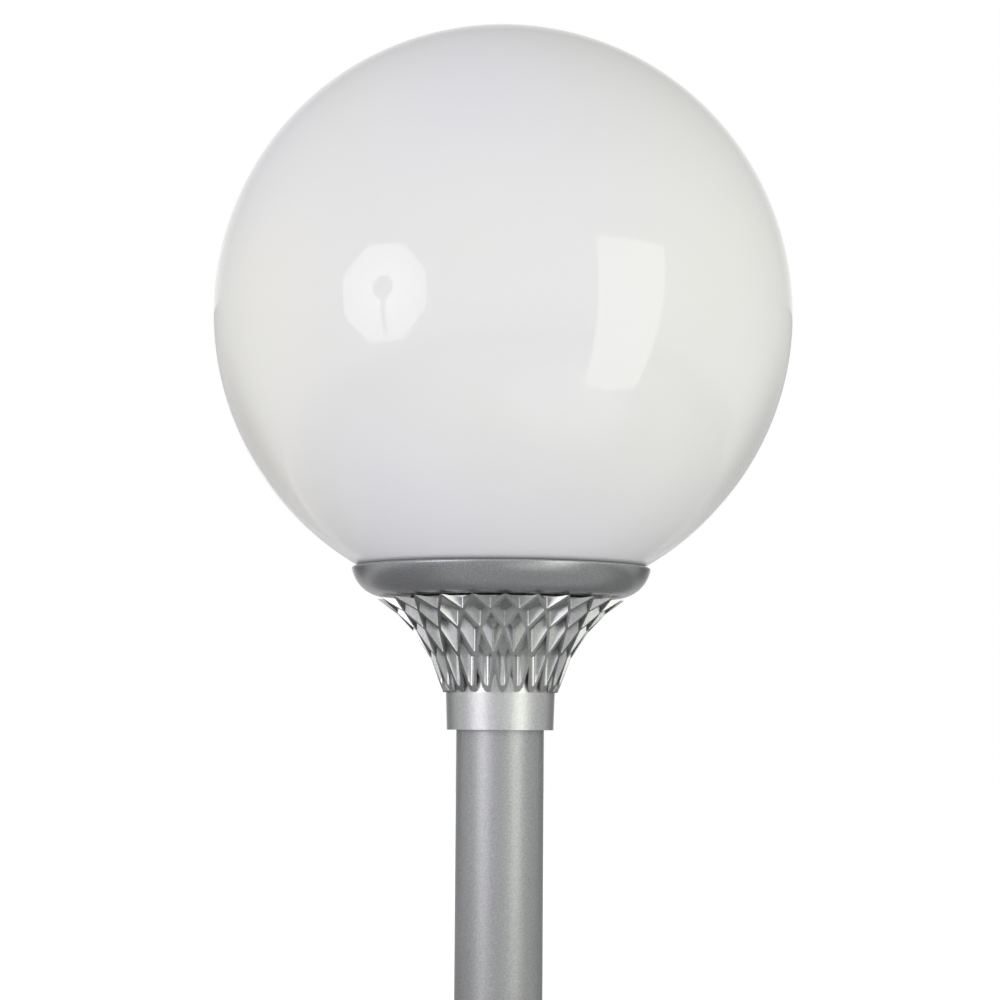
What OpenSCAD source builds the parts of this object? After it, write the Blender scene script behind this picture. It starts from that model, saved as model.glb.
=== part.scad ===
// Post-top street lamp: an opal globe on a dish, on a cast fitter with rows of leaves, on a round pole.
// Z is up, the pole's foot is at the origin, and the front of the lamp faces -Y.

/* [Pole] */
// Outer diameter of the pole
pole_d = 60; // [56:1:63]
// Wall of the pole's tube
pole_wall = 3; // [2:0.5:5]
// Length of pole below the collar
pole_show = 250; // [150:10:600]
// Length of pole inside the collar
pole_grip = 58; // [40:1:60]
// Gap all round between the pole and the bore of the collar
pole_gap = 0.4; // [0.2:0.1:0.8]

/* [Collar] */
// Diameter of the collar at its lower edge
collar_d_low = 73; // [71:0.5:74]
// Diameter of the collar where the leaves begin
collar_d_top = 74.6; // [74:0.2:76]
// Height of the plain collar, up to the lowest leaf ends
collar_h = 25.6; // [20:0.2:36]

/* [Leaves] */
// Number of leaves in a row
leaf_count = 24; // [20:1:28]
// How far the lowest leaf ends stand proud of the collar
leaf_proud = 1.9; // [1.4:0.1:2.6]
// Width of the lowest leaf ends
leaf_end_w = 5.1; // [4.6:0.1:5.6]
// Rise from each level of crossings to the next
row_rise = [23.5, 18.2, 12.1, 9.3]; // [8:0.1:26]
// Step outwards from each level of crossings to the next
row_step = [9.1, 11.8, 11.6, 12.5]; // [8:0.1:14]
// Thickness of the edge between two leaves
edge_w = 1.8; // [1.4:0.1:2.2]
// Round at the back of each hollow, for the lowest row and for the others
hollow_round = [2.4, 0.6]; // [0.4:0.1:2.6]
// How far the roof of each hollow vaults above a straight line, from the lowest row up
roof_vault = [1.2, 2.5, 3, 1.2]; // [0.6:0.1:3.4]
// Drop of the casting's top from the leaf tips to the foot of the seat
rim_drop = 3.6; // [2.6:0.1:4.4]

/* [Fitter] */
// Outer diameter of the seat that carries the dish
seat_d = 124; // [118:1:128]
// Height of the seat above the crossings of the leaf tips
seat_rise = 0.8; // [0.7:0.1:1.4]
// Thickness of the gasket between the seat and the dish
gasket_t = 1; // [0.6:0.1:2]
// Diameter of the hollow at the top of the casting
hollow_d_top = 84; // [80:1:90]
// Thickness of the shoulder that stops the pole
stop_t = 6; // [4:0.5:8]
// Diameter of the way for the cable through the shoulder
stop_bore_d = 44; // [30:1:50]
// Thread diameter of the grub screws
grub_d = 8; // [6:1:10]

/* [Dish] */
// Outer diameter of the dish at its rim
dish_d = 206; // [200:1:214]
// Height of the dish
dish_h = 20.7; // [20:0.1:24]
// Wall of the dish
dish_wall = 2.5; // [2:0.1:3]
// Lean of the dish's side from upright
dish_lean = 24; // [18:1:28]
// Outer radius of the round between the side and the floor
dish_round = 18; // [12:0.5:19]

/* [Globe] */
// Outer diameter of the globe
globe_d = 400; // [380:1:420]
// Wall of the globe
globe_wall = 3; // [2:0.5:4]
// Thickness of the seal under the neck
seal_t = 1.5; // [1:0.1:2]
// How far the lugs stand out from the neck
lug_out = 1.4; // [1:0.1:1.6]
// Gap between the neck with its lugs and the ring
lug_gap = 0.4; // [0.3:0.05:0.5]

/* [Lamp gear] */
// Diameter of the tray
tray_d = 124; // [116:1:130]
// Thickness of the tray
tray_t = 1.5; // [1:0.5:2]
// Height of the pillars under the tray
pillar_h = 10; // [9:0.5:14]
// Height of the lampholder's bracket
bracket_h = 46; // [30:1:80]
// Width of the bracket's strip
bracket_w = 22; // [18:1:30]
// Thickness of the bracket's strip
bracket_t = 2; // [1.5:0.5:3]
// Outer diameter of the lampholder's body
holder_d = 46; // [42:1:50]
// Height of the lampholder's body
holder_h = 50; // [46:1:60]
// Diameter of the bulb
bulb_d = 60; // [50:1:80]
// Length of the bulb with its cap
bulb_l = 108; // [100:1:140]
// Diameter of the inner leads over their sheath
lead_d = 3; // [2:0.5:3.5]

/* [Hidden] */
$fn = 96;
// Reach of the cutters that pass right through, and how far each of the others passes a face
FAR = 400;
SINK = 1;
// Depth at which the leaf body is buried in the collar, and its drop below the leaf ends
BURY = 1.6;
END_LOW = 0.5;
// Depth of the small step at the front tip of each hollow, and how far its roof runs on past that tip
TIP_STEP = 0.15;
TIP_OVER = 0.6;
// Gap round every screw
screw_gap = 0.2;

pitch = 360 / leaf_count;
pole_r = pole_d / 2;
bore_r = pole_r + pole_gap;
collar_r = collar_d_top / 2;

// Levels of the leaf crossings, above the collar's lower edge, with their radii
function upto(list, count) = count == 0 ? 0 : list[count - 1] + upto(list, count - 1);
level_z = [for (i = [0:len(row_rise)]) collar_h + upto(row_rise, i)];
level_r = [for (i = [0:len(row_step)]) collar_r + leaf_proud + upto(row_step, i)];
TOP = len(row_rise);
tip_r = level_r[TOP];
tip_z = level_z[TOP];
rim_z = tip_z + edge_w / 3;
seat_z = tip_z + seat_rise;
seat_r = seat_d / 2;
stop_top = pole_grip + stop_t;

dish_z = pole_show + seat_z + gasket_t;
dish_top = dish_z + dish_h;
floor_z = dish_z + dish_wall;

// Height of the leaf surface at a radius between two levels
function level_below(r, i = 0) = i < TOP - 1 && r > level_r[i + 1] ? level_below(r, i + 1) : i;
function slope_z(r, i) = level_z[i] + (r - level_r[i]) * row_rise[i] / row_step[i];

// Plan of a hollow, along +X: back and front apex, width angles of its two pairs of walls
leaf_end = leaf_end_w / 2 - edge_w / 2;
function side_x(row) = level_r[row] * cos(pitch / 2);
function side_y(row) = level_r[row] * sin(pitch / 2);
end_angle = atan2(side_y(1) - leaf_end, side_x(1) - level_r[0]);
function back_angle(row) = row == 1 ? end_angle : atan2(side_y(row), side_x(row) - level_r[row - 1]);
function back_apex(row) = row == 1 ? level_r[0] - leaf_end / tan(end_angle) : level_r[row - 1];
function back_x(row) = back_apex(row) + edge_w / 2 / sin(back_angle(row));
function front_angle(row) = atan2(side_y(row), level_r[row + 1] - side_x(row));
function front_x(row) = level_r[row + 1] - edge_w / 2 / sin(front_angle(row));
function meet_x(row) = (back_x(row) * tan(back_angle(row)) + front_x(row) * tan(front_angle(row)))
    / (tan(back_angle(row)) + tan(front_angle(row)));
// The hollows of the top row have no front: they run out past the leaf tips
open_x = tip_r + 2 * SINK;
function round_of(row) = hollow_round[row == 1 ? 0 : 1];
function valley_x(row) = back_x(row) + round_of(row) * (1 / sin(back_angle(row)) - 1);

// Arc between two points in the r-z plane that bulges up and inwards by the given height
function arc_radius(c, h) = (c * c / 4 + h * h) / (2 * h);
function vault(a, b, h, steps = 5) =
    let (
        c = norm(b - a),
        r = arc_radius(c, h),
        u = (b - a) / c,
        n = [-u[1], u[0]],
        mid = (a + b) / 2 - n * (r - h),
        half = asin(c / 2 / r)
    )
    [for (i = [0:steps]) let (t = half * (2 * i / steps - 1)) mid + r * (n * cos(t) + u * sin(t))];

// Lamp gear
tray_z = floor_z + pillar_h;
tray_top = tray_z + tray_t;
tray_r = tray_d / 2;
holder_z = tray_top + bracket_h;

// Pole

module pole() {
    color("silver")
        difference() {
            cylinder(r = pole_r, h = pole_show + pole_grip);
            translate([0, 0, -SINK])
                cylinder(r = pole_r - pole_wall, h = pole_show + pole_grip + 2 * SINK);
        }
}

// Leaf casting

// Plan of one hollow, with the round at its back made of flats
module hollow_plan(row) {
    a = back_angle(row);
    f = round_of(row);
    centre = back_x(row) + f / sin(a);
    flats = row == 1 ? 6 : 3;
    side_at = row < TOP ? meet_x(row) : open_x;
    front_at = row < TOP ? front_x(row) : open_x;
    half_w = (side_at - back_x(row)) * tan(a);
    polygon([
        [front_at, 0],
        [side_at, half_w],
        for (i = [0:flats])
            let (t = 90 + a + (180 - 2 * a) * i / flats)
            [centre + f * cos(t), f * sin(t)],
        [side_at, -half_w]
    ]);
}

function roof_end(x) = [x + TIP_OVER, slope_z(x + TIP_OVER, level_below(x)) + TIP_STEP];

// Profile of what lies under a vaulted roof
module under_roof(start, end, rise) {
    polygon(concat(
        [[start[0] - 2 * SINK, 0], start - [2 * SINK, SINK]],
        vault(start, end, rise),
        [[open_x, end[1]], [open_x, 0]]
    ));
}

// Ring of equal hollows, open below, and roofed by a vault of revolution
module hollow_ring(row) {
    start = [valley_x(row), level_z[row]];
    intersection() {
        for (i = [0:leaf_count - 1])
            rotate([0, 0, (i + (row % 2 == 1 ? 0 : 0.5)) * pitch])
                linear_extrude(tip_z + 2 * SINK)
                    hollow_plan(row);
        if (row < TOP)
            rotate_extrude()
                under_roof(start, roof_end(front_x(row)), roof_vault[row]);
    }
}

// Slit between the lowest leaf ends, with a wall on each side and the collar behind
slit_end = [
    level_r[0] * cos(pitch / 2) + leaf_end * sin(pitch / 2),
    level_r[0] * sin(pitch / 2) - leaf_end * cos(pitch / 2)
];
slit_angle = atan2(slit_end[1], level_r[1] - slit_end[0]);
slit_x = level_r[1] - edge_w / 2 / sin(slit_angle);

module slit_ring() {
    back = collar_r - BURY;
    half_w = (slit_x - back) * tan(slit_angle);
    start = [collar_r, level_z[0] + row_rise[0] / 2];
    intersection() {
        for (i = [0:leaf_count - 1])
            rotate([0, 0, (i + 0.5) * pitch])
                linear_extrude(tip_z)
                    polygon([[slit_x, 0], [back, half_w], [back, -half_w]]);
        rotate_extrude()
            under_roof(start, roof_end(slit_x), roof_vault[0]);
    }
}

// Round under the lowest leaf ends: what lies outside each end's half circle
module end_rounds() {
    r = leaf_end_w / 2;
    for (i = [0:leaf_count - 1])
        rotate([0, 0, i * pitch])
            difference() {
                translate([collar_r - BURY, -r - SINK, level_z[0] - 2 * SINK])
                    cube([leaf_proud + BURY + 2 * SINK, 2 * (r + SINK), r + 2 * SINK]);
                translate([collar_r - BURY - SINK, 0, level_z[0] + r])
                    rotate([0, 90, 0])
                        cylinder(r = r, h = leaf_proud + BURY + 4 * SINK);
            }
}

// Outline of the leaf body before its hollows are cut, with the seat on top and the hollow inside
module leaf_body() {
    inner = collar_r - 2 * BURY;
    low = level_z[0] - END_LOW;
    rotate_extrude()
        polygon([
            [inner, low],
            [level_r[0] - END_LOW * row_step[0] / row_rise[0], low],
            for (i = [1:TOP]) [level_r[i], level_z[i]],
            [tip_r + edge_w / 2, rim_z],
            [seat_r, rim_z - rim_drop],
            [seat_r, seat_z],
            [hollow_d_top / 2, seat_z],
            [inner, stop_top - 2 * BURY]
        ]);
}

// Collar with its bore, and the shoulder that stops the pole
module collar() {
    difference() {
        rotate_extrude()
            polygon([
                [bore_r, 0],
                [collar_d_low / 2, 0],
                [collar_r, level_z[0] - END_LOW],
                [collar_r, stop_top],
                [stop_bore_d / 2, stop_top],
                [stop_bore_d / 2, pole_grip],
                [bore_r, pole_grip]
            ]);
        grub_places()
            cylinder(d = grub_d + 2 * screw_gap, h = collar_d_low);
    }
}

grub_turn = 45;
grub_z = collar_h / 2;

module grub_places() {
    for (s = [-1, 1])
        rotate([0, 0, 90 + s * grub_turn])
            translate([0, 0, grub_z])
                rotate([0, 90, 0])
                    children();
}

module leaf_casting() {
    color("gainsboro")
        translate([0, 0, pole_show])
            difference() {
                union() {
                    leaf_body();
                    collar();
                }
                outside_collar()
                    end_rounds();
                outside_collar()
                    slit_ring();
                for (row = [1:TOP])
                    hollow_ring(row);
                bolt_places()
                    translate([0, 0, seat_z - bolt_depth])
                        cylinder(d = bolt_d + 2 * screw_gap, h = bolt_depth + SINK);
            }
}

// Keeps a cut off the collar, so that its cylinder stands behind the leaf ends
module outside_collar() {
    difference() {
        children();
        translate([0, 0, -SINK])
            cylinder(r = collar_r, h = tip_z);
    }
}

// Grub screws that lock the collar on the pole, on the back of the lamp
grub_key = 4;
grub_sunk = 0.3;

module grub_screws() {
    tip = pole_r + pole_gap / 2;
    length = collar_d_low / 2 - tip - grub_sunk;
    color("dimgray")
        translate([0, 0, pole_show])
            grub_places()
                difference() {
                    translate([0, 0, tip])
                        cylinder(d = grub_d, h = length);
                    translate([0, 0, tip + length - grub_key / 2])
                        cylinder(d = grub_key, h = grub_key, $fn = 6);
                }
}

// Dish and its fixing

bolt_d = 6;
bolt_depth = 10;
bolt_head_d = 10;
bolt_head_h = 4;
washer_d = 12;
washer_t = 1.2;
bolt_count = 4;
bolt_circle = (seat_d + hollow_d_top) / 4;

module bolt_places() {
    for (i = [0:bolt_count - 1])
        rotate([0, 0, (i + 0.5) * 360 / bolt_count])
            translate([bolt_circle, 0, 0])
                children();
}

module dish_gasket() {
    color("dimgray")
        difference() {
            translate([0, 0, pole_show + seat_z])
                cylinder(r = seat_r, h = gasket_t);
            translate([0, 0, pole_show + seat_z - SINK])
                cylinder(d = hollow_d_top, h = gasket_t + 2 * SINK);
            bolt_places()
                translate([0, 0, pole_show + seat_z - SINK])
                    cylinder(d = bolt_d + 2 * screw_gap, h = gasket_t + 2 * SINK);
        }
}

// Radius at which the dish's flat floor ends and its round begins
dish_flat_r = dish_d / 2 - dish_h * tan(dish_lean) - dish_round * tan((90 - dish_lean) / 2);

// Round between the leaning side and the flat floor of the dish, offset inwards by the given amount
function dish_arc(inset, steps = 8) =
    let (r = dish_round - inset)
    [
        for (i = [0:steps])
            let (t = -90 + (90 - dish_lean) * i / steps)
            [dish_flat_r + r * cos(t), dish_round + r * sin(t)]
    ];

function reverse(list) = [for (i = [len(list) - 1:-1:0]) list[i]];

module dish() {
    way_r = stop_bore_d / 2;
    rim_in = rim_open + rim_gap;
    color("gray")
        difference() {
            translate([0, 0, dish_z])
                rotate_extrude()
                    polygon(concat(
                        [[way_r, 0]],
                        dish_arc(0),
                        [[dish_d / 2, dish_h], [rim_in, dish_h]],
                        reverse(dish_arc(dish_wall)),
                        [[way_r, dish_wall]]
                    ));
            bolt_places()
                translate([0, 0, dish_z - SINK])
                    cylinder(d = bolt_d + 2 * screw_gap, h = dish_wall + 2 * SINK);
            ring_screw_places()
                translate([0, 0, dish_z + dish_wall / 2])
                    cylinder(d = ring_screw_d + 2 * screw_gap, h = dish_wall);
            pillar_places()
                translate([0, 0, dish_z + dish_wall / 2])
                    cylinder(d = tray_screw_d + 2 * screw_gap, h = dish_wall);
        }
}

module dish_bolts() {
    head_z = floor_z + washer_t;
    low_z = pole_show + seat_z - bolt_depth + SINK;
    color("silver")
        bolt_places() {
            translate([0, 0, low_z])
                cylinder(d = bolt_d, h = head_z - low_z);
            translate([0, 0, head_z])
                cylinder(d = bolt_head_d / cos(30), h = bolt_head_h, $fn = 6);
        }
}

module bolt_washers() {
    color("lightgray")
        bolt_places()
            difference() {
                translate([0, 0, floor_z])
                    cylinder(d = washer_d, h = washer_t);
                translate([0, 0, floor_z - SINK])
                    cylinder(d = bolt_d + 2 * screw_gap, h = washer_t + 2 * SINK);
            }
}

// Globe with its neck, seal and bayonet ring

lug_count = 3;
lug_angle = 22;
lug_rise = 0.5;
lip_clear = 0.8;
notch_slack = 4;
ring_screw_d = 2.5;
ring_screw_count = 6;
ring_wall = 2;
ring_lip_t = 1.6;
ring_foot_t = 1.5;
ring_foot_w = 9;
ring_screw_in = 6.2;
ring_edge_gap = 0.3;

// The globe's centre stands so high that its skin passes the dish's rim a rim gap away
globe_r = globe_d / 2;
rim_gap = 2.6;
rim_open = dish_d / 2 - dish_wall / cos(dish_lean) - rim_gap;
globe_z = dish_top + sqrt(globe_r * globe_r - rim_open * rim_open);

// The ring fills the flat floor of the dish, and the neck stands inside it
ring_out = dish_flat_r - ring_edge_gap;
ring_in = ring_out - ring_wall;
neck_r = ring_in - lug_gap - lug_out;
neck_z = floor_z + ring_foot_t + seal_t;
lug_z = neck_z + lug_rise;
under_globe_z = globe_z - sqrt(globe_r * globe_r - neck_r * neck_r);
ring_top_z = under_globe_z - lip_clear;
ring_lip_z = ring_top_z - ring_lip_t;
lug_h = ring_lip_z - lug_gap - lug_z;
ring_foot_in = neck_r - ring_foot_w;
ring_screw_circle = neck_r - ring_screw_in;

module ring_screw_places() {
    for (i = [0:ring_screw_count - 1])
        rotate([0, 0, (i + 0.5) * 360 / ring_screw_count])
            translate([ring_screw_circle, 0, 0])
                children();
}

module sector(radius, angle, height) {
    linear_extrude(height)
        polygon([
            [0, 0],
            [radius, -radius * tan(angle / 2)],
            [radius, radius * tan(angle / 2)]
        ]);
}

module bayonet_ring() {
    color("lightgray")
        difference() {
            translate([0, 0, floor_z])
                rotate_extrude()
                    polygon([
                        [ring_foot_in, 0],
                        [ring_out, 0],
                        [ring_out, ring_top_z - floor_z],
                        [neck_r + lug_gap, ring_top_z - floor_z],
                        [neck_r + lug_gap, ring_lip_z - floor_z],
                        [ring_in, ring_lip_z - floor_z],
                        [ring_in, ring_foot_t],
                        [ring_foot_in, ring_foot_t]
                    ]);
            for (i = [0:lug_count - 1])
                rotate([0, 0, (i + 0.5) * 360 / lug_count])
                    translate([0, 0, ring_lip_z - SINK])
                        intersection() {
                            sector(FAR, lug_angle + notch_slack, ring_lip_t + 2 * SINK);
                            cylinder(r = ring_in + ring_wall / 4, h = ring_lip_t + 2 * SINK);
                        }
            ring_screw_places()
                translate([0, 0, floor_z - SINK])
                    cylinder(d = ring_screw_d + 2 * screw_gap, h = ring_foot_t + 2 * SINK);
        }
}

// Pan head screw that stands on a surface, with a cross cut in its head
PAN_HEAD_D = 1.85;
PAN_HEAD_H = 0.65;

module pan_screw(d, length) {
    slot_w = d / 5;
    head_d = PAN_HEAD_D * d;
    head_h = PAN_HEAD_H * d;
    translate([0, 0, -length])
        cylinder(d = d, h = length);
    difference() {
        cylinder(d = head_d, h = head_h);
        for (a = [0, 90])
            rotate([0, 0, a])
                translate([-head_d / 3, -slot_w / 2, head_h / 2])
                    cube([head_d * 2 / 3, slot_w, head_h]);
    }
}

module ring_screws() {
    color("silver")
        ring_screw_places()
            translate([0, 0, floor_z + ring_foot_t])
                pan_screw(ring_screw_d, ring_foot_t + dish_wall / 2 - screw_gap);
}

seal_lap = 0.5;

module globe_seal() {
    color("dimgray")
        difference() {
            translate([0, 0, floor_z + ring_foot_t])
                cylinder(r = neck_r + seal_lap, h = seal_t);
            translate([0, 0, floor_z + ring_foot_t - SINK])
                cylinder(r = neck_r - globe_wall - seal_lap, h = seal_t + 2 * SINK);
        }
}

module globe() {
    inner_r = globe_r - globe_wall;
    neck_in = neck_r - globe_wall;
    color("white")
        difference() {
            union() {
                translate([0, 0, globe_z])
                    sphere(r = globe_r);
                translate([0, 0, neck_z])
                    cylinder(r = neck_r, h = 2 * globe_wall + dish_h);
                for (i = [0:lug_count - 1])
                    rotate([0, 0, i * 360 / lug_count])
                        translate([0, 0, lug_z])
                            intersection() {
                                sector(FAR, lug_angle, lug_h);
                                cylinder(r = neck_r + lug_out, h = lug_h);
                            }
            }
            translate([0, 0, globe_z])
                sphere(r = inner_r);
            translate([0, 0, neck_z - FAR])
                cylinder(r = globe_r, h = FAR);
            translate([0, 0, neck_z - SINK])
                cylinder(r = neck_in, h = globe_r);
        }
}

// Tray with its pillars

tray_screw_d = 4;
pillar_d = 9;
pillar_count = 3;
pillar_circle = tray_r - pillar_d;

module pillar_places() {
    for (i = [0:pillar_count - 1])
        rotate([0, 0, 90 + i * 360 / pillar_count])
            translate([pillar_circle, 0, 0])
                children();
}

module tray_pillars() {
    color("silver")
        pillar_places()
            difference() {
                translate([0, 0, floor_z])
                    cylinder(d = pillar_d, h = pillar_h);
                translate([0, 0, floor_z - SINK])
                    cylinder(d = tray_screw_d + 2 * screw_gap, h = pillar_h + 2 * SINK);
            }
}

module gear_tray() {
    color("lightgray")
        difference() {
            translate([0, 0, tray_z])
                cylinder(r = tray_r, h = tray_t);
            translate([0, 0, tray_z - SINK])
                cylinder(d = cable_way_d, h = tray_t + 2 * SINK);
            pillar_places()
                translate([0, 0, tray_z - SINK])
                    cylinder(d = tray_screw_d + 2 * screw_gap, h = tray_t + 2 * SINK);
            bracket_screw_places()
                translate([0, 0, tray_z - SINK])
                    cylinder(d = small_screw_d + 2 * screw_gap, h = tray_t + 2 * SINK);
            for (x = clamp_screw_x)
                translate([x, clamp_y, tray_z - SINK])
                    cylinder(d = small_screw_d + 2 * screw_gap, h = tray_t + 2 * SINK);
            translate([earth_x, earth_y, tray_z - SINK])
                cylinder(d = earth_d + 2 * screw_gap, h = tray_t + 2 * SINK);
        }
}

module tray_screws() {
    color("silver")
        pillar_places()
            translate([0, 0, tray_top])
                pan_screw(tray_screw_d, tray_t + pillar_h + dish_wall / 2 - screw_gap);
}

// Bracket and lampholder

small_screw_d = 3;
small_screw_out = 3;
bracket_foot = 14;
bracket_half = 26;
cable_way_d = 18;

module bracket_screw_places() {
    for (s = [-1, 1])
        translate([s * (bracket_half + bracket_foot / 2), 0, 0])
            children();
}

// Folded strip: two feet, two legs and the bridge that carries the lampholder
module holder_bracket() {
    t = bracket_t;
    out = bracket_half + bracket_foot;
    color("lightgray")
        difference() {
            translate([0, bracket_w / 2, tray_top])
                rotate([90, 0, 0])
                    linear_extrude(bracket_w)
                        polygon([
                            [-out, 0],
                            [-bracket_half + t, 0],
                            [-bracket_half + t, bracket_h - t],
                            [bracket_half - t, bracket_h - t],
                            [bracket_half - t, 0],
                            [out, 0],
                            [out, t],
                            [bracket_half, t],
                            [bracket_half, bracket_h],
                            [-bracket_half, bracket_h],
                            [-bracket_half, t],
                            [-out, t]
                        ]);
            bracket_screw_places()
                translate([0, 0, tray_top - SINK])
                    cylinder(d = small_screw_d + 2 * screw_gap, h = t + 2 * SINK);
            translate([0, 0, holder_z - t - SINK])
                cylinder(d = holder_stem_d + 2 * screw_gap, h = t + 2 * SINK);
        }
}

module bracket_screws() {
    color("silver")
        bracket_screw_places()
            translate([0, 0, tray_top + bracket_t])
                pan_screw(small_screw_d, bracket_t + tray_t + small_screw_out);
}

// Hollow screw that joins the lampholder to the bridge, with its nut under the bridge
nipple_in = 7;
nipple_nut_d = 14;
nipple_nut_h = 4;
nipple_up = 4.6;
nipple_out = 1;

module holder_nipple() {
    low = holder_z - bracket_t - nipple_nut_h - nipple_out;
    color("silver")
        difference() {
            translate([0, 0, low])
                cylinder(d = holder_stem_d, h = holder_z + nipple_up - low);
            translate([0, 0, low - SINK])
                cylinder(d = nipple_in, h = holder_h);
        }
}

module nipple_nut() {
    color("silver")
        translate([0, 0, holder_z - bracket_t - nipple_nut_h])
            difference() {
                cylinder(d = nipple_nut_d / cos(30), h = nipple_nut_h, $fn = 6);
                translate([0, 0, -SINK])
                    cylinder(d = holder_stem_d + 2 * screw_gap, h = nipple_nut_h + 2 * SINK);
            }
}

// Lampholder for the common 27 mm screw cap
thread_d = 27;
thread_gap = 0.5;
shell_t = 0.6;
shell_h = 26;
shell_hole_d = 16;
contact_d = 9;
contact_h = 5;
holder_floor = 14;
holder_stem_d = 10;
holder_stem_hole = 5;
holder_step = 1;
holder_edge = 2;
lead_hole = 5;
lead_in_x = 14;
lead_in_z = 8;

// Porcelain body: a turned form with a stepped side, a deep socket and two side holes for the leads
module holder_body() {
    r = holder_d / 2;
    cup = thread_d / 2 + 2 * thread_gap + shell_t;
    color("ivory")
        difference() {
            translate([0, 0, holder_z])
                rotate_extrude()
                    polygon([
                        [0, 0],
                        [r - holder_step - holder_edge, 0],
                        [r - holder_step, holder_edge],
                        [r - holder_step, holder_h / 2 - holder_step],
                        [r, holder_h / 2],
                        [r, holder_h - holder_edge],
                        [r - holder_edge, holder_h],
                        [cup, holder_h],
                        [cup, holder_floor],
                        [0, holder_floor]
                    ]);
            for (s = [-1, 1])
                translate([s * lead_in_x, 0, holder_z + lead_in_z])
                    rotate([0, s * 90, 0])
                        cylinder(d = lead_hole, h = holder_d);
            translate([0, 0, holder_z - SINK])
                cylinder(d = holder_stem_d + 2 * screw_gap, h = holder_stem_hole + SINK);
        }
}

module holder_shell() {
    r_in = thread_d / 2 + thread_gap;
    color("goldenrod")
        translate([0, 0, holder_z + holder_floor])
            difference() {
                cylinder(r = r_in + shell_t, h = shell_h);
                translate([0, 0, shell_t])
                    cylinder(r = r_in, h = shell_h);
                translate([0, 0, -SINK])
                    cylinder(d = shell_hole_d, h = 2 * SINK + shell_t);
            }
}

module holder_contact() {
    color("goldenrod")
        translate([0, 0, holder_z + holder_floor])
            cylinder(d = contact_d, h = contact_h);
}

// Bulb in one piece: cap with its foot contact, neck and pear-shaped glass
module bulb() {
    r = bulb_d / 2;
    cap_r = thread_d / 2 - screw_gap;
    cap_h = 25;
    foot_z = holder_z + holder_floor + contact_h;
    ball_z = bulb_l - r;
    foot_r = 4;
    foot_h = 2;
    cap_foot_r = 7;
    cap_foot_h = 5;
    // The glass is a little wider than the cap where it leaves the lampholder
    glass_out = 1.2;
    glass_clear = 2;
    glass_z = holder_h - holder_floor - contact_h + glass_clear;
    lean = 28;
    steps = 12;
    color("whitesmoke")
        translate([0, 0, foot_z])
            rotate_extrude()
                polygon(concat(
                    [
                        [0, 0],
                        [foot_r, 0],
                        [cap_foot_r, foot_h],
                        [cap_r, cap_foot_h],
                        [cap_r, cap_h],
                        [cap_r + glass_out, glass_z]
                    ],
                    [
                        for (i = [0:steps])
                            let (t = -lean + (90 + lean) * i / steps)
                            [r * cos(t), ball_z + r * sin(t)]
                    ]
                ));
}

// Terminal block, cable clamp and earth stud

terminal_l = 32;
terminal_w = 18;
terminal_h = 14;
terminal_y = -38;
terminal_ways = 3;
terminal_hole_d = 4.4;
terminal_screw_d = 4;
terminal_screw_sunk = 1;
terminal_slot = 0.8;

function way_x(i) = (i - (terminal_ways - 1) / 2) * terminal_l / terminal_ways;

module terminal_block() {
    color("ivory")
        difference() {
            translate([-terminal_l / 2, terminal_y - terminal_w / 2, tray_top])
                cube([terminal_l, terminal_w, terminal_h]);
            for (i = [0:terminal_ways - 1]) {
                translate([way_x(i), terminal_y - terminal_w / 2 - SINK, tray_top + terminal_h / 3])
                    rotate([-90, 0, 0])
                        cylinder(d = terminal_hole_d, h = terminal_w + 2 * SINK);
                translate([way_x(i), terminal_y, tray_top + terminal_h / 2 + SINK])
                    cylinder(d = terminal_screw_d + 2 * screw_gap, h = terminal_h);
            }
        }
}

module terminal_screws() {
    low = terminal_h / 2 + SINK + screw_gap;
    length = terminal_h - low - terminal_screw_sunk;
    color("silver")
        for (i = [0:terminal_ways - 1])
            translate([way_x(i), terminal_y, tray_top + low])
                difference() {
                    cylinder(d = terminal_screw_d, h = length);
                    translate([-terminal_screw_d, -terminal_slot / 2, length - SINK])
                        cube([2 * terminal_screw_d, terminal_slot, 2 * SINK]);
                }
}

clamp_y = 26;
clamp_l = 34;
clamp_w = 9;
clamp_t = 1.5;
clamp_arch_r = 6;
clamp_screw_x = [-12, 12];

// Saddle that grips the incoming cable: two feet and a round arch
module cable_clamp() {
    color("silver")
        difference() {
            translate([0, clamp_y + clamp_w / 2, tray_top])
                rotate([90, 0, 0])
                    linear_extrude(clamp_w)
                        difference() {
                            union() {
                                translate([-clamp_l / 2, 0])
                                    square([clamp_l, clamp_t]);
                                circle(r = clamp_arch_r + clamp_t);
                            }
                            circle(r = clamp_arch_r);
                            translate([-clamp_l, -2 * clamp_l])
                                square(2 * clamp_l);
                        }
            for (x = clamp_screw_x)
                translate([x, clamp_y, tray_top - SINK])
                    cylinder(d = small_screw_d + 2 * screw_gap, h = clamp_t + 2 * SINK);
        }
}

module clamp_screws() {
    color("silver")
        for (x = clamp_screw_x)
            translate([x, clamp_y, tray_top + clamp_t])
                pan_screw(small_screw_d, clamp_t + tray_t + small_screw_out);
}

earth_x = 34;
earth_y = -30;
earth_d = 4;
earth_h = 12;
earth_low = 2;
nut_d = 7;
nut_h = 3.2;

module earth_stud() {
    color("goldenrod")
        translate([earth_x, earth_y, tray_z - nut_h - earth_low])
            cylinder(d = earth_d, h = nut_h + earth_low + tray_t + earth_h);
}

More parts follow.
